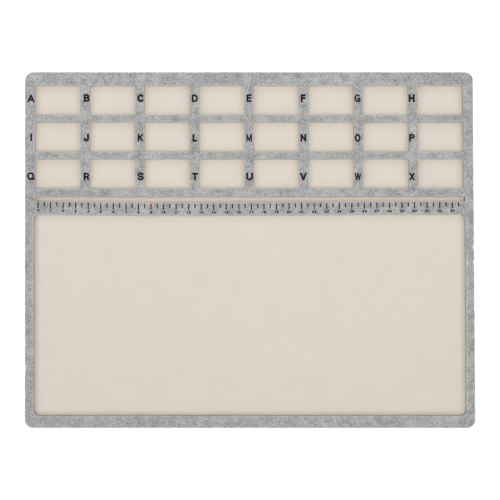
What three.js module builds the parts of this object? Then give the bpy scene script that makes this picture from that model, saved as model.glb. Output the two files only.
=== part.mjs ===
// Bead board: a felt frame cut with compartments, a measuring slot and a large stringing
// window, bonded over a cream bead mat, a stiff board and a felt base.
// Millimetres, +Z up. The origin is the middle of the underside, +X runs along the ruler
// strip and +Y points towards the compartments.
import * as THREE from 'three';

// Compartments, counted from the left rail and down from the top rail
const COLUMNS = 8;
const ROWS = 3;
const CELL_WIDTH = 36;
const CELL_DEPTH = 24;
const COLUMN_BAR = 7.7;
const ROW_BAR = 5.35;
const SIDE_RAIL = 8;
const TOP_RAIL = 10.5;
const CELL_CORNER = 0.9;

// Measuring slot below the compartments, with the ruler strip under it
const SLOT_RAIL = 6.2;
const SLOT_WIDTH = 4.2;
const SLOT_LEFT_RAIL = 8.6;
const SLOT_RIGHT_RAIL = 6.9;
const SLOT_CORNER = 0.5;
const RULER_STRIP = 9.8;

// Stringing window
const WINDOW_DEPTH = 160.7;
const WINDOW_SIDE_RAIL = 6.8;
const WINDOW_CORNER = 4.5;
const BOTTOM_RAIL = 9.4;

// Outer edge of the felt, and how far the hidden layers stop short of a cut felt edge
const BOARD_CORNER = 6.6;
const CORE_SETBACK = 0.5;
const FILM_SETBACK = 0.8;

// Layer thicknesses, from the table up
const BASE_FELT = 2;
const BASE_FILM = 0.1;
const STIFFENER = 1.5;
const MAT_FILM = 0.1;
const BEAD_MAT = 1.5;
const FRAME_FILM = 0.1;
const FRAME_FELT = 3;

// Segments in half of each rounded corner, and the most of a side that one corner may take
const CORNER_SEGMENTS = 2;
const CORNER_SHARE = 0.45;

// The board is as large as the rails, bars and openings that make it up
const columnPitch = CELL_WIDTH + COLUMN_BAR;
const rowPitch = CELL_DEPTH + ROW_BAR;
const boardWidth = 2 * SIDE_RAIL + COLUMNS * columnPitch - COLUMN_BAR;
const cellBlockDepth = ROWS * rowPitch - ROW_BAR;
const rulerDepth = SLOT_RAIL + SLOT_WIDTH + RULER_STRIP;
const boardDepth = TOP_RAIL + cellBlockDepth + rulerDepth + WINDOW_DEPTH + BOTTOM_RAIL;
const left = -boardWidth / 2;
const right = boardWidth / 2;
const top = boardDepth / 2;
const bottom = -boardDepth / 2;

const board = { left, right, bottom, top, corner: BOARD_CORNER };

// The cuts through the felt frame
function compartment(column, row) {
  const cellLeft = left + SIDE_RAIL + column * columnPitch;
  const cellTop = top - TOP_RAIL - row * rowPitch;
  return {
    left: cellLeft,
    right: cellLeft + CELL_WIDTH,
    bottom: cellTop - CELL_DEPTH,
    top: cellTop,
    corner: CELL_CORNER,
  };
}

const slotTop = top - TOP_RAIL - cellBlockDepth - SLOT_RAIL;
const measuringSlot = {
  left: left + SLOT_LEFT_RAIL,
  right: right - SLOT_RIGHT_RAIL,
  bottom: slotTop - SLOT_WIDTH,
  top: slotTop,
  corner: SLOT_CORNER,
};

const stringingWindow = {
  left: left + WINDOW_SIDE_RAIL,
  right: right - WINDOW_SIDE_RAIL,
  bottom: bottom + BOTTOM_RAIL,
  top: measuringSlot.bottom - RULER_STRIP,
  corner: WINDOW_CORNER,
};

const cuts = [measuringSlot, stringingWindow];
for (let row = 0; row < ROWS; row += 1) {
  for (let column = 0; column < COLUMNS; column += 1) {
    cuts.push(compartment(column, row));
  }
}

// A rectangle moved outwards by a distance, or inwards by a negative one
function grown(rectangle, distance) {
  return {
    left: rectangle.left - distance,
    right: rectangle.right + distance,
    bottom: rectangle.bottom - distance,
    top: rectangle.top + distance,
    corner: rectangle.corner + distance,
  };
}

// Draws a rectangle with rounded corners, anticlockwise from its lower right corner
function drawRounded(path, rectangle) {
  const width = rectangle.right - rectangle.left;
  const depth = rectangle.top - rectangle.bottom;
  const radius = Math.min(rectangle.corner, CORNER_SHARE * width, CORNER_SHARE * depth);
  const cornerCentres = [
    [rectangle.right - radius, rectangle.bottom + radius],
    [rectangle.right - radius, rectangle.top - radius],
    [rectangle.left + radius, rectangle.top - radius],
    [rectangle.left + radius, rectangle.bottom + radius],
  ];
  cornerCentres.forEach(([x, y], turn) => {
    const start = (turn - 1) * Math.PI / 2;
    path.absarc(x, y, radius, start, start + Math.PI / 2, false);
  });
  path.closePath();
  return path;
}

function layerGeometry(outline, windows, thickness) {
  const shape = drawRounded(new THREE.Shape(), outline);
  for (const window of windows) {
    shape.holes.push(drawRounded(new THREE.Path(), window));
  }
  return new THREE.ExtrudeGeometry(shape, {
    depth: thickness,
    bevelEnabled: false,
    curveSegments: CORNER_SEGMENTS,
  });
}

function finish(colour, roughness) {
  return new THREE.MeshStandardMaterial({ color: colour, roughness, metalness: 0 });
}

const greyFelt = finish('#a7a7a6', 0.95);
const creamPile = finish('#ddd5ca', 0.9);
const greyboard = finish('#8d877c', 0.85);
const bondingFilm = finish('#e5dfcf', 0.45);

// The layers in the order in which they are laid up, each resting on the one before
const core = grown(board, -CORE_SETBACK);
const film = grown(board, -FILM_SETBACK);
const filmCuts = cuts.map((cut) => grown(cut, FILM_SETBACK));

const layers = [
  { name: 'base_felt', outline: board, windows: [], thickness: BASE_FELT, material: greyFelt },
  { name: 'base_film', outline: film, windows: [], thickness: BASE_FILM, material: bondingFilm },
  { name: 'stiffener_board', outline: core, windows: [], thickness: STIFFENER, material: greyboard },
  { name: 'mat_film', outline: film, windows: [], thickness: MAT_FILM, material: bondingFilm },
  { name: 'bead_mat', outline: core, windows: [], thickness: BEAD_MAT, material: creamPile },
  { name: 'frame_film', outline: film, windows: filmCuts, thickness: FRAME_FILM, material: bondingFilm },
  { name: 'felt_frame', outline: board, windows: cuts, thickness: FRAME_FELT, material: greyFelt },
];

const beadBoard = new THREE.Group();
let height = 0;
for (const layer of layers) {
  const mesh = new THREE.Mesh(layerGeometry(layer.outline, layer.windows, layer.thickness), layer.material);
  mesh.name = layer.name;
  mesh.position.z = height;
  beadBoard.add(mesh);
  height += layer.thickness;
}

export default beadBoard;
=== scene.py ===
import math

import bpy
import numpy as np
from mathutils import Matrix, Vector
from mathutils.geometry import delaunay_2d_cdt


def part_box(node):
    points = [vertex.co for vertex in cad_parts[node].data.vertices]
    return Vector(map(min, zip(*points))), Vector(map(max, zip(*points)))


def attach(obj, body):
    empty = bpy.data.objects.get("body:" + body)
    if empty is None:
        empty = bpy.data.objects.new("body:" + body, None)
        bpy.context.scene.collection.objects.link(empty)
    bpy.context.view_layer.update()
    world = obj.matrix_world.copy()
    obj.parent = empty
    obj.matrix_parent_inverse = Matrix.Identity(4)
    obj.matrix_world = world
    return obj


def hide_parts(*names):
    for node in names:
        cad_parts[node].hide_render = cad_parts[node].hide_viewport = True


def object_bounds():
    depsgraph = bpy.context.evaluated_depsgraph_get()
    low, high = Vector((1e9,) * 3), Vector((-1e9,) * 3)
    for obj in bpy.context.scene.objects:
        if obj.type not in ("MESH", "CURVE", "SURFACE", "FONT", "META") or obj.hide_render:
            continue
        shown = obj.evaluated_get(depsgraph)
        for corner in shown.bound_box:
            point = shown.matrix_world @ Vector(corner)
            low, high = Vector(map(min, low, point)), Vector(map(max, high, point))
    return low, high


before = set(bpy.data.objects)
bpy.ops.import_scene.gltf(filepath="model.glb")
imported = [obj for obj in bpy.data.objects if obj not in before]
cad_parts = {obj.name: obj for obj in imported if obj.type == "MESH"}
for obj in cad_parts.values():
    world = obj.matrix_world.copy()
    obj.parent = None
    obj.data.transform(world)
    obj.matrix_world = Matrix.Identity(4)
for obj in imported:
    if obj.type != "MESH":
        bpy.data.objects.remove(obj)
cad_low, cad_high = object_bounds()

mm = 0.001

# Base felt
# A thin sheet of grey melange felt that the whole board lies on, so that it neither slides nor
# scratches. It is needled from pale and dark fibres, die-cut and bonded to the stiff board above.


def cut_rims(node):
    """The rounded rectangles cut in a flat CAD sheet, largest first, as (low, high, corner radius)."""
    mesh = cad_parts[node].data
    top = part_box(node)[1].z
    micron, micron_decimals = 0.001 * mm, 6
    beside = {}
    for face in mesh.polygons:
        lies_flat = abs(face.normal.z) > 0.5
        if lies_flat:
            continue
        ends = [mesh.vertices[i].co for i in face.vertices]
        ends = [v.to_2d() for v in ends if abs(v.z - top) < micron]
        ends = [(round(v.x, micron_decimals), round(v.y, micron_decimals)) for v in ends]
        for one in ends:
            beside.setdefault(one, set()).update(ends)
    rims = []
    while beside:
        waiting = [next(iter(beside))]
        loop = set()
        while waiting:
            one = waiting.pop()
            if one in beside:
                loop.add(one)
                waiting.extend(beside.pop(one))
        loop = np.array(sorted(loop))
        low, high = loop.min(axis=0), loop.max(axis=0)
        straight = loop[loop[:, 1] > high[1] - micron, 0]
        rims.append((low, high, high[0] - straight.max()))
    return sorted(rims, key=lambda rim: -np.prod(rim[1] - rim[0]))


def grown(rim, distance):
    """The rounded rectangle that lies outside another by the same distance all round."""
    low, high, radius = rim
    return low - distance, high + distance, radius + distance


def rim_distance(places, rim):
    """How far each place lies outside a rounded rectangle, negative where it is inside."""
    low, high, radius = rim
    beyond = np.abs(places - (low + high) / 2) - (high - low) / 2 + radius
    outside = np.linalg.norm(np.maximum(beyond, 0), axis=1)
    return outside + np.minimum(beyond.max(axis=1), 0) - radius


def rim_loop(rim, step):
    """Points anticlockwise round a rounded rectangle, with the outward direction at each."""
    low, high, radius = rim
    near, far = low + radius, high - radius
    centres = np.array([(far[0], near[1]), far, (near[0], far[1]), near])
    fewest_bends = 4
    bends = max(fewest_bends, round(radius * math.pi / 2 / step))
    places, outward = [], []
    for turn, centre in enumerate(centres):
        for bend in range(bends + 1):
            angle = math.pi / 2 * (turn - 1 + bend / bends)
            way = np.array([math.cos(angle), math.sin(angle)])
            places.append(centre + radius * way)
            outward.append(way)
        start, end = places[-1], centres[(turn + 1) % 4] + radius * way
        steps = max(1, round(np.linalg.norm(end - start) / step))
        for k in range(1, steps):
            places.append(start + (end - start) * k / steps)
            outward.append(way)
    return np.array(places), np.array(outward)


def fill(loops, rims, gap):
    """Grid points inside the first rim and outside the others, and triangles over them and the loops."""
    margin, same_point = 0.6 * gap, 1e-9
    low, high, _ = rims[0]
    rows = np.arange(low[1], high[1], gap * math.sqrt(3) / 2)
    columns = np.arange(low[0], high[0], gap)
    grid = np.array([(x + gap / 2 * (k % 2), y) for k, y in enumerate(rows) for x in columns])
    kept = rim_distance(grid, rims[0]) < -margin
    for rim in rims[1:]:
        kept &= rim_distance(grid, rim) > margin
    grid = grid[kept]
    edges, start = [], 0
    for loop in loops:
        edges += [(start + k, start + (k + 1) % len(loop)) for k in range(len(loop))]
        start += len(loop)
    points = np.concatenate([*loops, grid])
    made = delaunay_2d_cdt([Vector(p) for p in points], edges, [], 0, same_point)
    first = [origin[0] for origin in made[3]]
    triangles = np.array([[first[i] for i in face] for face in made[2]])
    middles = points[triangles].mean(axis=1)
    inside = rim_distance(middles, rims[0]) < 0
    for rim in rims[1:]:
        inside &= rim_distance(middles, rim) > 0
    return grid, triangles[inside]


def sheet_mesh(name, outer, holes, step, rings, gaps, lie, edge_tints=None):
    """A closed sheet: rings of (inset, height) lead from its lower edge up every cut edge to its top.

    gaps are the distances between points on the top and underneath. lie moves the flat, exact sheet's
    points to where they really lie. edge_tints gives the shares of painted highlight and of painted shade
    on every ring of an edge. Gives the piece and the flat points."""
    rims = [outer, *holes]
    loops = []
    for rim in rims:
        places, outward = rim_loop(rim, step)
        loops.append((places, -outward if rim is outer else outward))
    corners, faces, starts, walls = [], [], {}, []
    count = 0
    for which, (places, into) in enumerate(loops):
        tints = edge_tints(which, into) if edge_tints else np.zeros((len(rings), len(places), 2))
        for level, (inset, height) in enumerate(rings):
            starts[which, level] = count
            corners.append(np.column_stack([places + inset * into, np.full(len(places), height)]))
            walls.append(tints[level])
            count += len(places)
        around = np.arange(len(places))
        following = np.roll(around, -1)
        for level in range(len(rings) - 1):
            lower, upper = starts[which, level], starts[which, level + 1]
            quads = np.column_stack([lower + around, lower + following, upper + following, upper + around])
            faces += (quads if which == 0 else quads[:, ::-1]).tolist()
    for level, gap in ((len(rings) - 1, gaps[0]), (0, gaps[1])):
        inset, height = rings[level]
        edges = [places + inset * into for places, into in loops]
        inner_rims = [grown(outer, -inset), *[grown(hole, inset) for hole in holes]]
        grid, triangles = fill(edges, inner_rims, gap)
        known = [starts[which, level] + np.arange(len(edge)) for which, edge in enumerate(edges)]
        numbers = np.concatenate([*known, count + np.arange(len(grid))])
        corners.append(np.column_stack([grid, np.full(len(grid), height)]))
        walls.append(np.zeros((len(grid), 2)))
        count += len(grid)
        triangles = numbers[triangles]
        faces += (triangles if level else triangles[:, ::-1]).tolist()
    flat = np.concatenate(corners)
    mesh = bpy.data.meshes.new(name)
    mesh.from_pydata(lie(flat.copy()).tolist(), [], faces)
    mesh.shade_smooth()
    # Shares of painted highlight and of painted shade on every point of the cut edges.
    for attribute, values in zip(("painted_edge_light", "painted_edge_shade"), np.concatenate(walls).T):
        share = mesh.attributes.new(attribute, "FLOAT", "POINT")
        share.data.foreach_set("value", values.astype(np.float32))
    piece = bpy.data.objects.new(name, mesh)
    bpy.context.scene.collection.objects.link(piece)
    return piece, flat


def rolling(places, lump, seed):
    """Smooth random heights from -1 to 1 over the plane, in lumps of about that size."""
    squares = 97
    dice = np.random.default_rng(seed).uniform(-1, 1, (squares, squares))
    spot = places[:, :2] / lump
    corner = np.floor(spot).astype(int)
    ease = spot - corner
    ease = ease * ease * (3 - 2 * ease)
    x0, y0 = (corner % squares).T
    x1, y1 = ((corner + 1) % squares).T
    south = dice[x0, y0] + (dice[x1, y0] - dice[x0, y0]) * ease[:, 0]
    north = dice[x0, y1] + (dice[x1, y1] - dice[x0, y1]) * ease[:, 0]
    return south + (north - south) * ease[:, 1]


def put(tree, kind, sockets, **settings):
    """Adds a node with its settings, and links or sets its sockets."""
    node = tree.nodes.new(kind)
    for name, value in settings.items():
        setattr(node, name, value)
    for name, value in sockets.items():
        if isinstance(value, bpy.types.NodeSocket):
            tree.links.new(value, node.inputs[name])
        else:
            node.inputs[name].default_value = value
    return node


def work_out(tree, operation, first, second, third=0.0):
    """One step of arithmetic on two or three values."""
    return put(tree, "ShaderNodeMath", {0: first, 1: second, 2: third}, operation=operation).outputs[0]


def span(tree, value, low, high, to_low, to_high):
    """Maps a value from one range to another."""
    sockets = {"Value": value, "From Min": low, "From Max": high, "To Min": to_low, "To Max": to_high}
    return put(tree, "ShaderNodeMapRange", sockets).outputs["Result"]


def blend_colours(tree, share, first, second):
    """The first colour at a share of 0, the second at 1."""
    return put(tree, "ShaderNodeMix", {0: share, 6: first, 7: second}, data_type="RGBA").outputs[2]


def noise(tree, spot, size, detail=2.0, roughness=0.55):
    """Soft random spots of about that size."""
    sockets = {"Vector": spot, "Scale": 1 / size, "Detail": detail, "Roughness": roughness}
    return put(tree, "ShaderNodeTexNoise", sockets).outputs["Fac"]


def new_finish(name):
    """An empty material and its nodes."""
    finish = bpy.data.materials.new(name)
    finish.use_nodes = True
    finish.node_tree.nodes.clear()
    return finish, finish.node_tree


def close_finish(tree, sockets):
    """Ends a material with its shader."""
    shader = put(tree, "ShaderNodeBsdfPrincipled", sockets)
    put(tree, "ShaderNodeOutputMaterial", {"Surface": shader.outputs[0]})


def fibre_bundles(tree, spot, size, drift):
    """Thin lines that wander and cross like bundles of fibre, 1 along each line and 0 beside it."""
    middle, half_width = 0.5, 0.09
    sockets = {0: spot, 1: (drift, drift, drift)}
    moved = put(tree, "ShaderNodeVectorMath", sockets, operation="ADD").outputs[0]
    field = noise(tree, moved, size, detail=1.5, roughness=0.6)
    beside = work_out(tree, "ABSOLUTE", work_out(tree, "SUBTRACT", field, middle), 0.0)
    return span(tree, beside, 0.0, half_width, 1.0, 0.0)


def felt_fibres(tree, spot):
    """How pale the felt is where pale and dark bundles of fibre cross, and its fine hairs alone."""
    pale_share, dark_share, hair_share = 0.36, -0.52, 0.75
    pale = fibre_bundles(tree, spot, size=1.5 * mm, drift=0.0)
    dark = fibre_bundles(tree, spot, size=1.4 * mm, drift=5.3 * mm)
    hairs = noise(tree, spot, 0.35 * mm, detail=3.0, roughness=0.7)
    pale_alone = work_out(tree, "MULTIPLY", pale, pale_share)
    crossed = work_out(tree, "MULTIPLY_ADD", dark, dark_share, pale_alone)
    return work_out(tree, "MULTIPLY_ADD", hairs, hair_share, crossed), hairs


def felt_finish(name):
    """Matt melange felt, with painted highlight and painted shade along some of its cut edges."""
    finish, tree = new_finish(name)
    spot = put(tree, "ShaderNodeTexCoord", {}).outputs["Object"]
    fibres, hairs = felt_fibres(tree, spot)
    mottle_share, cloud_share = 0.85, 0.17
    darkest, palest = 0.25, 1.4
    mottle = noise(tree, spot, 7 * mm, detail=2.0, roughness=0.5)
    clouds = noise(tree, spot, 60 * mm, detail=1.0, roughness=0.5)
    clouded = work_out(tree, "MULTIPLY_ADD", clouds, cloud_share, fibres)
    shade = work_out(tree, "MULTIPLY_ADD", mottle, mottle_share, clouded)
    paleness = span(tree, shade, darkest, palest, 0.0, 1.0)
    colour = blend_colours(tree, paleness, felt_dark, felt_pale)
    # Cut edges take painted highlight and warm painted shade from the shares stored on the mesh.
    for attribute, tint in (("painted_edge_light", edge_highlight_tint), ("painted_edge_shade", edge_shade_tint)):
        share = put(tree, "ShaderNodeAttribute", {}, attribute_name=attribute).outputs["Fac"]
        colour = blend_colours(tree, share, colour, tint)
    bump = put(tree, "ShaderNodeBump", {"Height": fibres, "Strength": 0.35, "Distance": 0.4 * mm})
    close_finish(tree, {
        "Base Color": colour,
        "Roughness": span(tree, hairs, 0.3, 0.7, 0.88, 1.0),
        "Specular IOR Level": 0.15,
        "Sheen Weight": 0.12,
        "Sheen Roughness": 0.5,
        "Normal": bump.outputs[0],
    })
    return finish


def out_of_square(places):
    """The sheets are cut slightly out of square, with small nicks in the left and right edge."""
    places[:, 0] -= skew * places[:, 1]
    low, high, _ = base_rim
    for side, inward, nicks in ((low[0], 1, left_nicks), (high[0], -1, right_nicks)):
        close = np.clip(1 - np.abs(places[:, 0] - side) / nick_reach, 0, 1)
        for height, depth in nicks:
            notch = np.exp(-(((places[:, 1] - height * mm) / nick_width) ** 2))
            places[:, 0] += inward * depth * mm * close * notch
    return places


# A nick is given by how far up the edge it is from the board's middle, and by its depth, in millimetres.
skew, nick_reach, nick_width = 0.0034, 3 * mm, 1.1 * mm
left_nicks = [
    (106.7, 0.75), (60.6, 0.3), (-75.6, 0.7), (-92.9, 0.72), (-95.4, 0.6), (-98.6, 0.42), (-116.8, 0.4),
]
right_nicks = [(49.2, 0.6), (2.3, 0.65), (-10.0, 0.95), (-47.7, 0.5), (-118.4, 0.35)]
felt_dark, felt_pale = (0.142, 0.142, 0.142, 1), (0.54, 0.54, 0.54, 1)
# Tints of the painted highlight and of the warm painted shade on the felt's cut edges.
edge_highlight_tint, edge_shade_tint = (0.88, 0.89, 0.91, 1), (0.31, 0.253, 0.158, 1)
base_low, base_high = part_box("base_felt")
base_rim = cut_rims("base_felt")[0]
base_edge = 0.45 * mm
base_waver, base_waver_length = 0.08 * mm, 2.6 * mm
base_hollow, base_hollow_length = 0.05 * mm, 3.1 * mm
base_rings = [
    (base_edge, base_low.z),
    (0.15 * base_edge, base_low.z + 0.4 * base_edge),
    (0.0, base_low.z + base_edge),
    (0.0, base_high.z - base_edge),
    (0.15 * base_edge, base_high.z - 0.4 * base_edge),
    (base_edge, base_high.z),
]


def base_lie(places):
    """The underside is a little uneven where it lies on the table, and the cut edge wavers."""
    places[:, 0] += base_waver * rolling(places, base_waver_length, 11)
    places[:, 1] += base_waver * rolling(places, base_waver_length, 12)
    under = places[:, 2] < (base_low.z + base_high.z) / 2
    hollow = base_hollow * (1 + rolling(places, base_hollow_length, 13))
    places[:, 2] += np.where(under, hollow, 0)
    return out_of_square(places)


base_sheet, _ = sheet_mesh(
    "base_felt_sheet", base_rim, [], step=1.2 * mm, rings=base_rings, gaps=(8 * mm, 2.2 * mm), lie=base_lie
)
base_sheet.data.materials.append(felt_finish("base_grey_felt"))
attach(base_sheet, "root")
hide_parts("base_felt")

# Stiff board
# A sheet of greyboard, pressed from waste paper, that keeps the soft layers flat when the board is
# lifted. Its cut edge shows as a thin brown-grey line, set back between the two felts.

board_finish, tree = new_finish("pressed_greyboard")
spot = put(tree, "ShaderNodeTexCoord", {}).outputs["Object"]
plies = put(tree, "ShaderNodeMapping", {"Vector": spot, "Scale": (0.25, 0.25, 3.0)}).outputs[0]
layers = noise(tree, plies, 0.8 * mm, detail=3.0, roughness=0.6)
flecks = noise(tree, spot, 0.35 * mm, detail=2.0, roughness=0.5)
fleck_share = 0.5
shade = work_out(tree, "MULTIPLY_ADD", flecks, fleck_share, layers)
bump = put(tree, "ShaderNodeBump", {"Height": shade, "Strength": 0.3, "Distance": 0.15 * mm})
board_dark, board_pale = (0.17, 0.15, 0.12, 1), (0.33, 0.3, 0.25, 1)
close_finish(tree, {
    "Base Color": blend_colours(tree, span(tree, shade, 0.55, 0.95, 0.0, 1.0), board_dark, board_pale),
    "Roughness": span(tree, flecks, 0.3, 0.7, 0.75, 0.95),
    "Specular IOR Level": 0.3,
    "Normal": bump.outputs[0],
})
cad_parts["stiffener_board"].data.materials.clear()
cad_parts["stiffener_board"].data.materials.append(board_finish)

# Adhesive films
# Three sheets of pressure-sensitive film, a tenth of a millimetre thick, bond the layers all over.
# They stop short of every cut edge, and the one under the felt frame is cut with the same openings.


def film_finish(name):
    """Cloudy, faintly yellow adhesive with a slight gloss."""
    finish, tree = new_finish(name)
    spot = put(tree, "ShaderNodeTexCoord", {}).outputs["Object"]
    streaks = noise(tree, spot, 3 * mm, detail=3.0, roughness=0.6)
    film_dark, film_pale = (0.55, 0.5, 0.4, 1), (0.72, 0.68, 0.57, 1)
    close_finish(tree, {
        "Base Color": blend_colours(tree, streaks, film_dark, film_pale),
        "Roughness": span(tree, streaks, 0.3, 0.7, 0.35, 0.6),
        "IOR": 1.47,
    })
    return finish


adhesive = film_finish("clear_adhesive")
for node in ("base_film", "mat_film"):
    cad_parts[node].data.materials.clear()
    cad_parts[node].data.materials.append(adhesive)

felt_rims = cut_rims("felt_frame")
board_rim, window_rim, slot_rim, *cell_rims = felt_rims
felt_low, felt_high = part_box("felt_frame")
# sag_start and sag_end are the powers with which the strip's sag begins and ends along its length.
strip_sag, sag_start, sag_end = 1.1 * mm, 1.6, 3.2
felt_spread, near_reach, side_reach, mat_reach = 0.22 * mm, 9 * mm, 6 * mm, 12 * mm
right_spread, right_reach = 1.3 * felt_spread, 70 * mm
cell_slant, wide_slant = 0.14 * mm, 0.42 * mm
# How far the slant goes at the height of every near edge, where there is none, and of every far edge.
far_slants = {}
for rims, slant in ((cell_rims, cell_slant), ([window_rim, slot_rim], wide_slant)):
    for low, high, _ in rims:
        far_slants[low[1]] = 0.0
        far_slants[high[1]] = slant
far_slants = np.array(sorted(far_slants.items()))


def cut_lie(places):
    """The narrow ruler strip sags towards the window, most at a third of its length. The felt spreads a
    little into the window, most at its near right end, and the far edge of every opening slants out
    towards its foot."""
    along = np.clip((places[:, 0] - slot_rim[0][0]) / (slot_rim[1][0] - slot_rim[0][0]), 0, 1)
    deepest = sag_start / (sag_start + sag_end)
    peak = deepest ** sag_start * (1 - deepest) ** sag_end
    bump = along ** sag_start * (1 - along) ** sag_end / peak
    left_edge, near_edge = window_rim[0]
    right_edge, far_edge = window_rim[1]
    slot_near, slot_far = slot_rim[0][1], slot_rim[1][1]
    cells_end = min(rim[0][1] for rim in cell_rims)
    # The heights lead from the near rail over the window and the ruler strip to the first compartments.
    heights = [near_edge - near_reach, near_edge, near_edge + mat_reach, far_edge - mat_reach, far_edge]
    heights += [slot_near, slot_far, cells_end]
    left_side = [left_edge - side_reach, left_edge, left_edge + mat_reach]
    beside = np.interp(places[:, 0], left_side, [0, 1, 0])
    beside *= np.interp(places[:, 1], heights, [0, 1, 1, 1, 1, 0, 0, 0])
    right_side = [right_edge - mat_reach, right_edge, right_edge + side_reach]
    right_end = np.interp(places[:, 0], right_side, [0, 1, 0])
    near_end = [near_edge - near_reach, near_edge, near_edge + right_reach]
    right_end *= np.interp(places[:, 1], near_end, [0, 1, 0])
    sagging = np.interp(places[:, 1], heights, [0, 0, 0, 0, 1, 1, 0.1, 0])
    spreading = np.interp(places[:, 1], heights, [0, 1, 0, 0, 0, 0, 0, 0])
    foot = np.clip((felt_high.z - places[:, 2]) / (felt_high.z - felt_low.z), 0, 1)
    slanting = foot * np.interp(places[:, 1], *far_slants.T)
    places[:, 0] += felt_spread * beside - right_spread * right_end
    places[:, 1] += felt_spread * spreading - slanting - strip_sag * sagging * bump
    return out_of_square(places)


film_low, film_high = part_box("frame_film")
film_rims = cut_rims("frame_film")
film_rings = [(0.0, film_low.z), (0.0, film_high.z)]
frame_film, _ = sheet_mesh(
    "frame_film_sheet",
    film_rims[0],
    film_rims[1:],
    step=3 * mm,
    rings=film_rings,
    gaps=(6 * mm, 6 * mm),
    lie=cut_lie,
)
frame_film.data.materials.append(adhesive)
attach(frame_film, "root")
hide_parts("frame_film")

# Bead mat
# A cream short-pile velour mat, one whole sheet under the frame. It shows in every opening, where
# its nap stops beads from rolling. Painted shade makes it darker and warmer in the angle below the
# cut felt.

mat_low, mat_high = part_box("bead_mat")
mat_rim = cut_rims("bead_mat")[0]
mat_rings = [
    (0.25 * mm, mat_low.z),
    (0.0, mat_low.z + 0.3 * mm),
    (0.0, mat_high.z - 0.4 * mm),
    (0.35 * mm, mat_high.z),
]
pile_swell, swell_reach = 0.22 * mm, 4 * mm
long_wave, short_wave = 22 * mm, 6 * mm


def opening_depth(places, rims):
    """How far each place lies inside an opening, 0 below the felt."""
    depth = np.zeros(len(places))
    for rim in rims:
        depth = np.maximum(depth, -rim_distance(places[:, :2], rim))
    return depth


def mat_lie(places):
    """The pile swells a little into the openings and lies in slow waves."""
    free = np.clip(opening_depth(places, felt_rims[1:]) / swell_reach, 0, 1)
    waves = 0.5 + 0.3 * rolling(places, long_wave, 31) + 0.2 * rolling(places, short_wave, 32)
    on_top = places[:, 2] > mat_high.z - 0.1 * mm
    places[:, 2] += np.where(on_top, pile_swell * waves * free, 0)
    return cut_lie(places)


mat_sheet, flat = sheet_mesh(
    "bead_mat_sheet", mat_rim, [], step=1.5 * mm, rings=mat_rings, gaps=(1.3 * mm, 8 * mm), lie=mat_lie
)


def foot_shade(places, rim, weights, reach, power):
    """How much painted shade lies at the foot of an opening's left, near, right and far edge. It adds up
    in the far corners."""
    low, high, _ = rim
    under_felt = 2 * mm
    gaps = np.maximum(np.column_stack([places - low, high - places]), 0)
    left, near, right, far = (np.array(weights) * np.exp(-((gaps / reach) ** power))).T
    shade = np.minimum(np.maximum(near, np.maximum(left, right) + far), 1)
    return np.where(rim_distance(places, grown(rim, under_felt)) < 0, shade, 0)


# Each row holds an opening, the painted shade at its left, near, right and far foot, and its reach and
# power.
feet = {
    "warm_painted_shade": [(window_rim, (0.6, 0.5, 0.6, 0), 3.4 * mm, 2), (slot_rim, (0, 1, 0, 0.5), 4 * mm, 2)],
    "grey_painted_shade": [(window_rim, (0, 0, 0, 0.68), 4.5 * mm, 2), (slot_rim, (0.5, 0, 1, 0.55), 4 * mm, 2)],
}
for rim in cell_rims:
    feet["warm_painted_shade"].append((rim, (0.54, 0.64, 0.56, 0.45), 4 * mm, 1.5))
    feet["grey_painted_shade"].append((rim, (0, 0, 0, 0.45), 4 * mm, 1.5))
# Shares of painted shade on the mat, summed over all openings.
for attribute, shades in feet.items():
    share = mat_sheet.data.attributes.new(attribute, "FLOAT", "POINT")
    total = sum(foot_shade(flat[:, :2], *shade) for shade in shades)
    share.data.foreach_set("value", total.astype(np.float32))

mat_finish, tree = new_finish("cream_velour")
spot = put(tree, "ShaderNodeTexCoord", {}).outputs["Object"]
nap = noise(tree, spot, 0.3 * mm, detail=3.0, roughness=0.65)
brushed = noise(tree, spot, 14 * mm, detail=3.0, roughness=0.5)
brushed_share, nap_share = 0.34, 0.5
shade = work_out(tree, "MULTIPLY_ADD", brushed, brushed_share, work_out(tree, "MULTIPLY", nap, nap_share))
paleness = span(tree, shade, 0.17, 0.67, 0.0, 1.0)
mat_dark, mat_pale = (0.6, 0.552, 0.49, 1), (0.66, 0.607, 0.54, 1)
# Tints of the warm and grey painted shade at the foot of the cut edges, which multiply the mat's colour.
warm_shade, grey_shade = (0.86, 0.805, 0.74, 1), (0.81, 0.81, 0.81, 1)
colour = blend_colours(tree, paleness, mat_dark, mat_pale)
for attribute, tint in (("warm_painted_shade", warm_shade), ("grey_painted_shade", grey_shade)):
    share = put(tree, "ShaderNodeAttribute", {}, attribute_name=attribute).outputs["Fac"]
    sockets = {0: share, 6: colour, 7: tint}
    colour = put(tree, "ShaderNodeMix", sockets, data_type="RGBA", blend_type="MULTIPLY").outputs[2]
bump = put(tree, "ShaderNodeBump", {"Height": nap, "Strength": 0.2, "Distance": 0.15 * mm})
close_finish(tree, {
    "Base Color": colour,
    "Roughness": span(tree, nap, 0.3, 0.7, 0.85, 1.0),
    "Specular IOR Level": 0.15,
    "Sheen Weight": 0.1,
    "Sheen Roughness": 0.4,
    "Normal": bump.outputs[0],
})
mat_sheet.data.materials.append(mat_finish)
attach(mat_sheet, "root")
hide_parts("bead_mat")

# Felt frame
# One sheet of thick grey melange felt, die-cut with 24 compartments, a measuring slot and a large
# window, and bonded over the mat. Its cut edges are slightly rounded and waver with the fibres.

felt_rings = [
    (0.08 * mm, felt_low.z),
    (0.0, felt_low.z + 0.35 * mm),
    (0.0, felt_low.z + 1.5 * mm),
    (0.03 * mm, felt_high.z - 0.7 * mm),
    (0.1 * mm, felt_high.z - 0.2 * mm),
    (0.3 * mm, felt_high.z - 0.03 * mm),
    (0.7 * mm, felt_high.z),
    (1.3 * mm, felt_high.z),
]
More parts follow.
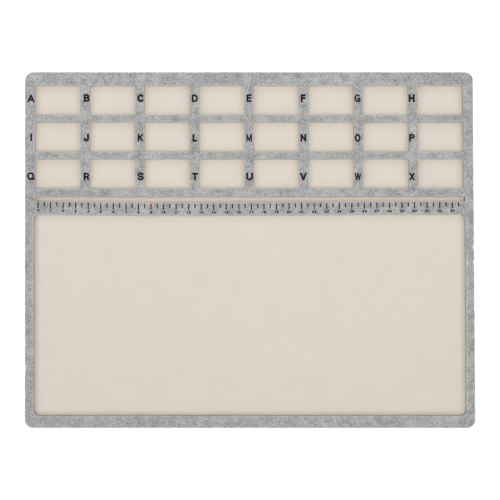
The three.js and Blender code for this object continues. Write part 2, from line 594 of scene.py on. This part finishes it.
# How strongly each of those rings takes the painted highlight of the cut wall and of its rim, and the
# painted shade at its foot.
wall_highlight_rings = [1, 1, 1, 0.72, 0.15, 0, 0, 0]
rim_highlight_rings = [0, 0, 0, 0.2, 0.6, 1, 0.6, 0]
edge_shade_rings = [1, 1, 1, 0.8, 0.2, 0, 0, 0]
# Painted shade on the right edge of the last compartments grows to its most between these places.
edge_shade_from, edge_shade_to, most_edge_shade = 80 * mm, 170 * mm, 0.32
felt_waver, felt_waver_length = 0.1 * mm, 2.4 * mm


def felt_tints(which, into):
    """An opening's edge takes the most painted highlight where it faces the near side. The window's takes
    warm painted shade elsewhere, and so do the slot's ends and the right edge of the last compartments.
    The outer edge takes hardly any painted highlight and is hardly paler than the top."""
    # wall and rim are shares of painted highlight, and brown is the share of painted shade.
    is_outer, is_window, is_slot = which == 0, which == 1, which == 2
    facing = np.full(len(into), -1.0) if is_outer else into[:, 1]
    side_end = 0.75 if is_window else 0.0
    side_rim = 0.16 if is_window else 0.12
    wall = np.interp(facing, [-1, 0, side_end, 1], [0.16, 0.36, 0.36, 1.0])
    rim = np.interp(facing, [-1, 0, 1], [0.12, side_rim, 0.05])
    if is_outer:
        brown = np.zeros(len(into))
    elif is_window:
        brown = np.interp(facing, [-1, -0.5, 0, side_end, 1], [1, 0.5, 0.36, 0.5, 0])
    elif is_slot:
        brown = np.interp(into[:, 0], [-1, 0, 1], [0.75, 0, 1])
    else:
        last = np.interp(felt_rims[which][1][0], [edge_shade_from, edge_shade_to], [0, most_edge_shade])
        brown = last * np.clip(into[:, 0], 0, 1)
    pale = np.outer(wall_highlight_rings, wall) + np.outer(rim_highlight_rings, rim)
    return np.stack([pale, np.outer(edge_shade_rings, brown)], axis=-1)


def felt_lumps(places):
    """How far the felt's top stands above or below its mean height."""
    small_lump, small_height = 3.2 * mm, 0.07 * mm
    large_lump, large_height = 9 * mm, 0.06 * mm
    return small_height * rolling(places, small_lump, 41) + large_height * rolling(places, large_lump, 42)


def felt_lie(places):
    """The top is lumpy and the cut edges waver, and the sheet then lies as it was cut."""
    rise = np.clip((places[:, 2] - felt_low.z) / (felt_high.z - felt_low.z), 0, 1) ** 2
    places[:, 2] += rise * felt_lumps(places)
    flat = places.copy()
    places[:, 0] += felt_waver * rolling(flat, felt_waver_length, 43)
    places[:, 1] += felt_waver * rolling(flat, felt_waver_length, 44)
    return cut_lie(places)


felt_frame, _ = sheet_mesh(
    "felt_frame_sheet",
    board_rim,
    felt_rims[1:],
    step=0.9 * mm,
    rings=felt_rings,
    gaps=(0.85 * mm, 4 * mm),
    lie=felt_lie,
    edge_tints=felt_tints,
)
felt_frame.data.materials.append(felt_finish("frame_grey_felt"))
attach(felt_frame, "root")
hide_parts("felt_frame")

# Printed letters
# Black capitals screen-printed on the felt, one beside the left edge of every compartment, A to X.
# The ink has soaked into the top fibres, so it follows the felt's lumps and its outline is ragged.


def bend(x, y, across, up, start, stop):
    """Points along part of an ellipse, from one angle to another."""
    angles = np.radians(np.linspace(start, stop, 17))
    return [(x + across * math.cos(angle), y + up * math.sin(angle)) for angle in angles]


def ring(x, y, across, up):
    """A closed ring, drawn in two strokes."""
    return [bend(x, y, across, up, 0, 180), bend(x, y, across, up, 180, 360)]


round_stroke = ring(0.5, 0.5, 0.5, 0.5)
stem = [(0, 0), (0, 1)]
bowl = [(0, 1), *bend(0.5, 0.74, 0.5, 0.26, 90, -90), (0, 0.48)]
strokes = {
    "A": [[(0, 0), (0.5, 1)], [(0.5, 1), (1, 0)], [(0.14, 0.26), (0.86, 0.26)]],
    "B": [stem, [(0, 1), *bend(0.5, 0.76, 0.44, 0.24, 90, -90), (0, 0.52)],
          [(0, 0.52), *bend(0.5, 0.26, 0.5, 0.26, 90, -90), (0, 0)]],
    "C": [bend(0.52, 0.5, 0.52, 0.5, 45, 315)],
    "D": [stem, [(0, 1), *bend(0.46, 0.5, 0.54, 0.5, 90, -90), (0, 0)]],
    "E": [stem, [(0, 1), (1, 1)], [(0, 0.52), (0.9, 0.52)], [(0, 0), (1, 0)]],
    "F": [stem, [(0, 1), (1, 1)], [(0, 0.5), (0.85, 0.5)]],
    "G": [bend(0.52, 0.5, 0.52, 0.5, 52, 305), [(0.6, 0.43), (1, 0.43)], [(1, 0.43), (1, 0)]],
    "H": [stem, [(1, 0), (1, 1)], [(0, 0.52), (1, 0.52)]],
    "I": [[(0.5, 0), (0.5, 1)]],
    "J": [[(1, 1), *bend(0.5, 0.3, 0.5, 0.3, 0, -175)]],
    "K": [stem, [(1, 1), (0, 0.38)], [(0.32, 0.58), (1, 0)]],
    "L": [stem, [(0, 0), (1, 0)]],
    "M": [stem, [(0, 1), (0.5, 0.1)], [(0.5, 0.1), (1, 1)], [(1, 1), (1, 0)]],
    "N": [stem, [(0, 1), (1, 0)], [(1, 0), (1, 1)]],
    "O": round_stroke,
    "P": [stem, bowl],
    "Q": [*ring(0.45, 0.5, 0.45, 0.5), [(0.64, 0.12), (1.0, 0.0)]],
    "R": [stem, bowl, [(0.5, 0.48), (0.82, 0.4), (0.95, 0)]],
    "S": [[*bend(0.5, 0.75, 0.48, 0.25, 25, 270), *bend(0.5, 0.25, 0.5, 0.25, 90, -155)]],
    "T": [[(0, 1), (1, 1)], [(0.5, 1), (0.5, 0)]],
    "U": [[(0, 1), *bend(0.5, 0.32, 0.5, 0.32, 180, 360), (1, 1)]],
    "V": [[(0, 1), (0.5, 0)], [(0.5, 0), (1, 1)]],
    "W": [[(0, 1), (0.25, 0)], [(0.25, 0), (0.5, 1)], [(0.5, 1), (0.75, 0)], [(0.75, 0), (1, 1)]],
    "X": [[(0, 0), (1, 1)], [(0, 1), (1, 0)]],
}


def pen_stroke(line, pen):
    """The outline of a pen drawn along a line, with square ends."""
    shortest, pace = 0.02 * pen, 0.6 * mm
    line = [np.array(p) for p in line]
    path = [line[0]]
    for start, end in zip(line, line[1:]):
        length = np.linalg.norm(end - start)
        if length > shortest:
            steps = max(1, round(length / pace))
            path += [start + (end - start) * k / steps for k in range(1, steps + 1)]
    path = np.array(path)
    ways = np.diff(path, axis=0)
    ways /= np.linalg.norm(ways, axis=1)[:, None]
    path[0] -= ways[0] * pen / 2
    path[-1] += ways[-1] * pen / 2
    before, after = np.vstack([ways[:1], ways]), np.vstack([ways, ways[-1:]])
    mitre = before + after
    mitre /= (1 + np.sum(before * after, axis=1))[:, None]
    aside = np.column_stack([-mitre[:, 1], mitre[:, 0]]) * pen / 2
    return np.concatenate([path + aside, (path - aside)[::-1]])


def within(places, outline):
    """Whether each place is inside a closed outline."""
    inside = np.zeros(len(places), bool)
    for (x0, y0), (x1, y1) in zip(outline, np.roll(outline, -1, axis=0)):
        if y0 != y1:
            crossed = (places[:, 1] < y0) != (places[:, 1] < y1)
            inside ^= crossed & (places[:, 0] < x0 + (places[:, 1] - y0) * (x1 - x0) / (y1 - y0))
    return inside


def inked(outlines, low, high):
    """Points and triangles over the union of some outlines, cut off below low and above high."""
    wide, same_point = 1.0, 1e-7
    band = np.array([(-wide, low), (wide, low), (wide, high), (-wide, high)])
    points, edges = [], []
    for outline in (*outlines, band):
        start = len(points)
        points += [Vector(p) for p in outline]
        edges += [(start + k, start + (k + 1) % len(outline)) for k in range(len(outline))]
    made = delaunay_2d_cdt(points, edges, [], 0, same_point)
    places, triangles = np.array(made[0]), np.array(made[2])
    middles = places[triangles].mean(axis=1)
    kept = np.zeros(len(triangles), bool)
    for outline in outlines:
        kept |= within(middles, outline)
    kept &= (middles[:, 1] > low) & (middles[:, 1] < high)
    used, triangles = np.unique(triangles[kept], return_inverse=True)
    return places[used], triangles.reshape(-1, 3)


def drawn(sign, width, height, pen):
    """Points and triangles of one letter or number about its middle."""
    room = np.array([width - pen, height - pen])
    lines = [(np.array(line) - 0.5) * room for line in strokes[sign]]
    return inked([pen_stroke(line, pen) for line in lines], -height / 2, height / 2)


def print_mesh(name, prints):
    """One closed film of ink from many flat prints, laid on the felt."""
    ragged, fibre_gap = 0.05 * mm, 0.5 * mm
    ink_above, ink_below = 0.05 * mm, 0.12 * mm
    corners, faces, count = [], [], 0
    for flat, triangles in prints:
        places = flat + ragged * np.column_stack([rolling(flat, fibre_gap, seed) for seed in (51, 52)])
        height = felt_high.z + felt_lumps(flat)
        top = np.column_stack([places, height + ink_above])
        under = np.column_stack([places, height - ink_below])
        sides = np.concatenate([triangles[:, [0, 1]], triangles[:, [1, 2]], triangles[:, [2, 0]]])
        known = {tuple(side) for side in sides.tolist()}
        rim = np.array([(a, b) for a, b in sides.tolist() if (b, a) not in known])
        n = len(places)
        faces += (triangles + count).tolist()
        faces += (triangles[:, ::-1] + count + n).tolist()
        walls = np.column_stack([rim[:, 1], rim[:, 0], rim[:, 0] + n, rim[:, 1] + n])
        faces += (walls + count).tolist()
        corners += [top, under]
        count += 2 * n
    mesh = bpy.data.meshes.new(name)
    mesh.from_pydata(cut_lie(np.concatenate(corners)).tolist(), [], faces)
    piece = bpy.data.objects.new(name, mesh)
    bpy.context.scene.collection.objects.link(piece)
    return piece


def ink_finish(name, dark, pale):
    """Matt ink in the felt's fibres, thinner where a fibre stands up."""
    finish, tree = new_finish(name)
    spot = put(tree, "ShaderNodeTexCoord", {}).outputs["Object"]
    fibres, hairs = felt_fibres(tree, spot)
    bump = put(tree, "ShaderNodeBump", {"Height": fibres, "Strength": 0.3, "Distance": 0.3 * mm})
    thinness = span(tree, fibres, 0.0, 0.8, 0.0, 1.0)
    close_finish(tree, {
        "Base Color": blend_colours(tree, thinness, (*dark, 1), (*pale, 1)),
        "Roughness": span(tree, hairs, 0.3, 0.7, 0.75, 0.95),
        "Specular IOR Level": 0.1,
        "Normal": bump.outputs[0],
    })
    return finish


# Widths, pens and nudges along and up are in millimetres.
letter_widths = {
    "A": 5.7, "B": 4.9, "C": 5.3, "D": 4.9, "E": 4.1, "F": 4.15, "G": 4.85, "H": 4.9,
    "I": 1.5, "J": 4.3, "K": 4.5, "L": 3.9, "M": 4.5, "N": 4.6, "O": 4.55, "P": 4.6,
    "Q": 6.1, "R": 4.6, "S": 5.2, "T": 5.0, "U": 5.5, "V": 5.5, "W": 5.1, "X": 4.3,
}
letter_height, round_height = 6.22 * mm, 6.45 * mm
usual_pen = 1.65
letter_pens = {
    "A": 1.45, "B": 1.55, "D": 1.48, "E": 1.5, "G": 1.32, "I": 1.5, "K": 1.4, "M": 1.1, "N": 1.45,
    "O": 1.45, "P": 1.5, "Q": 1.5, "R": 1.45, "S": 1.55, "T": 1.5, "W": 1.0, "X": 1.45,
}
second_letter, first_step, letter_step = board_rim[0][0] + 49.1 * mm, 44.25 * mm, 43.29 * mm
letter_columns = [second_letter - first_step] + [second_letter + k * letter_step for k in range(7)]
letter_rows = [board_rim[1][1] - drop for drop in (20.93 * mm, 52.55 * mm, 83.66 * mm)]
letter_nudges = {
    "A": (0, -0.2), "B": (0.2, 0.1), "D": (0, -0.15), "I": (0.2, 0.4), "K": (-0.2, 0), "L": (0, -0.2),
    "O": (0, -0.15), "Q": (0, 0.4), "S": (-0.15, 0.2), "U": (0.25, 0), "V": (-0.2, 0), "X": (-0.15, 0),
}
letters = []
for k, sign in enumerate(letter_widths):
    pen = letter_pens.get(sign, usual_pen) * mm
    height = round_height if sign in "CGOQS" else letter_height
    places, triangles = drawn(sign, letter_widths[sign] * mm, height, pen)
    along, up = letter_nudges.get(sign, (0, 0))
    row, column = divmod(k, len(letter_columns))
    middle = letter_columns[column] + along * mm, letter_rows[row] + up * mm
    letters.append((places + middle, triangles))
letter_print = print_mesh("printed_letters", letters)
black_ink = ink_finish("black_print_ink", (0.0105, 0.0072, 0.0075), (0.021, 0.0155, 0.016))
letter_print.data.materials.append(black_ink)
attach(letter_print, "root")

# Printed ruler
# A centimetre scale along the strip below the measuring slot, with a longer tick at each whole
# centimetre, a small number under each of those, and the tick at nine centimetres in red.

strokes.update({
    "0": round_stroke,
    "1": [[(0.6, 0), (0.6, 1)], [(0.6, 1), (0.15, 0.72)]],
    "2": [[*bend(0.5, 0.7, 0.5, 0.3, 165, -35), (0, 0)], [(0, 0), (1, 0)]],
    "3": [bend(0.45, 0.76, 0.5, 0.24, 150, -90), bend(0.45, 0.26, 0.55, 0.26, 90, -150)],
    "4": [[(0.75, 0), (0.75, 1)], [(0.75, 1), (0, 0.3)], [(0, 0.3), (1, 0.3)]],
    "5": [[(0.95, 1), (0.15, 1)], [(0.15, 1), (0.05, 0.52)], bend(0.48, 0.32, 0.52, 0.32, 135, -150)],
    "6": [*ring(0.5, 0.3, 0.5, 0.3), bend(0.65, 0.35, 0.65, 0.65, 180, 75)],
    "7": [[(0, 1), (1, 1)], [(1, 1), (0.35, 0)]],
    "8": [*ring(0.5, 0.76, 0.42, 0.24), *ring(0.5, 0.26, 0.5, 0.26)],
    "9": [*ring(0.5, 0.7, 0.5, 0.3), bend(0.35, 0.65, 0.65, 0.65, 0, -105)],
})
centimetre = 10.003 * mm
scale_zero = board_rim[0][0] + 10.55 * mm
last_centimetre = 33
tick_width, red_tick_width, red_half = 0.94 * mm, 1.4 * mm, 18
tick_top = slot_rim[0][1] - 0.78 * mm
long_tick, short_tick = 4.95 * mm, 3.45 * mm
scale_bow, lowest_centimetre = 0.52 * mm, 0.56 * last_centimetre
uncut = 1.0
black_ticks, red_ticks = [], []


def scale_rise(across):
    """The scale is printed in a slight bow, highest at its zero end."""
    return scale_bow * ((across - scale_zero) / (lowest_centimetre * centimetre) - 1) ** 2


for half in range(2 * last_centimetre + 2):
    length = short_tick if half % 2 else long_tick
    across = scale_zero + half / 2 * centimetre
    width = red_tick_width if half == red_half else tick_width
    places, triangles = inked([pen_stroke([(0, 0), (0, length - width)], width)], -uncut, uncut)
    lowest = places[:, 1].min()
    row = red_ticks if half == red_half else black_ticks
    row.append((places + (across, tick_top + scale_rise(across) - length - lowest), triangles))
number_height, number_pen = 2.2 * mm, 0.62 * mm
digit_width, wide_nought, narrow_one, digit_gap = 1.65 * mm, 1.85 * mm, 1.25 * mm, 0.26 * mm
number_middle = window_rim[1][1] + 2.23 * mm
numbers = []
for value in range(last_centimetre + 1):
    text = str(value)
    widths = [{"0": wide_nought, "1": narrow_one}.get(sign, digit_width) for sign in text]
    across = scale_zero + value * centimetre - (sum(widths) + digit_gap * (len(text) - 1)) / 2
    up = number_middle + scale_rise(scale_zero + value * centimetre)
    for sign, width in zip(text, widths):
        places, triangles = drawn(sign, width, number_height, number_pen)
        numbers.append((places + (across + width / 2, up), triangles))
        across += width + digit_gap
red_ink = ink_finish("red_print_ink", (0.2, 0.032, 0.052), (0.3, 0.065, 0.09))
ruler_finishes = {"print_ink": black_ink, "red_ink": red_ink}
for name, prints, ink in (
    ("ruler_ticks", black_ticks, "print_ink"),
    ("red_tick", red_ticks, "red_ink"),
    ("ruler_numbers", numbers, "print_ink"),
):
    ruler_print = print_mesh(name, prints)
    ruler_print.data.materials.append(ruler_finishes[ink])
    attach(ruler_print, "root")

# Floor
# A plain white studio table under the board. It glows, as a light table does, so that it is as white
# as the backdrop behind it.

floor_size, floor_gap = 8.0, 0.2 * mm
bpy.ops.mesh.primitive_plane_add(size=floor_size, location=(0, 0, cad_low.z - floor_gap))
floor = bpy.context.object
floor.name = "white_table"
floor_finish, tree = new_finish("white_table_top")
spot = put(tree, "ShaderNodeTexCoord", {}).outputs["Object"]
grain = noise(tree, spot, 40 * mm)
table_dark, table_pale = (0.16, 0.16, 0.16, 1), (0.2, 0.2, 0.2, 1)
close_finish(tree, {
    "Base Color": blend_colours(tree, grain, table_dark, table_pale),
    "Roughness": 0.9,
    "Specular IOR Level": 0.1,
    "Emission Color": (1, 1, 1, 1),
    "Emission Strength": 0.92,
})
floor.data.materials.append(floor_finish)

# Light
# A white studio that gives a dim light all round, as at a copy stand, with a softbox overhead, a little
# towards the board's far half, one at each side, and a large one farther off on the near side.

studio = bpy.data.worlds.new("pale_studio")
bpy.context.scene.world = studio
studio.use_nodes = True
tree = studio.node_tree
tree.nodes.clear()
way = put(tree, "ShaderNodeTexCoord", {}).outputs["Generated"]
across = put(tree, "ShaderNodeSeparateXYZ", {0: way}).outputs["Y"]
near_glow, far_glow = 0.4, 0.27
glow = span(tree, across, -1.0, 1.0, near_glow, far_glow)
seen = put(tree, "ShaderNodeLightPath", {}).outputs["Is Camera Ray"]
white_wall = work_out(tree, "MAXIMUM", glow, seen)
backdrop = put(tree, "ShaderNodeBackground", {"Color": (1, 1, 1, 1), "Strength": white_wall})
put(tree, "ShaderNodeOutputWorld", {"Surface": backdrop.outputs[0]})

for name, size, watts, place in (
    ("overhead_softbox", 0.4, 3.45, (0, 0.2, 0.9)),
    ("left_softbox", 0.6, 3.9, (-1.0, 0.3, 0.9)),
    ("right_softbox", 0.6, 3.9, (1.0, 0.3, 0.9)),
    ("near_softbox", 1.2, 26.2, (0, -1.8, 2.85)),
):
    softbox = bpy.data.lights.new(name, "AREA")
    softbox.shape = "SQUARE"
    softbox.size = size
    softbox.energy = watts
    lamp = bpy.data.objects.new(name, softbox)
    lamp.location = place
    lamp.rotation_euler = (-Vector(place)).to_track_quat("-Z", "Y").to_euler()
    bpy.context.scene.collection.objects.link(lamp)

# Camera
# It looks almost straight down from 0.6 m above the felt, leaning slightly towards the far side. The
# picture shows the colours as they are lit, with no film look added.

camera_data = bpy.data.cameras.new("camera")
camera_data.sensor_width = 36
camera_data.lens = 54.26
camera = bpy.data.objects.new("camera", camera_data)
camera_rise = 600 * mm
camera.location = (0.387 * mm, -8.839 * mm, cad_high.z + camera_rise)
camera.rotation_euler = (math.radians(0.8028), 0, 0)
bpy.context.scene.collection.objects.link(camera)
bpy.context.scene.camera = camera
bpy.context.scene.view_settings.view_transform = "Standard"
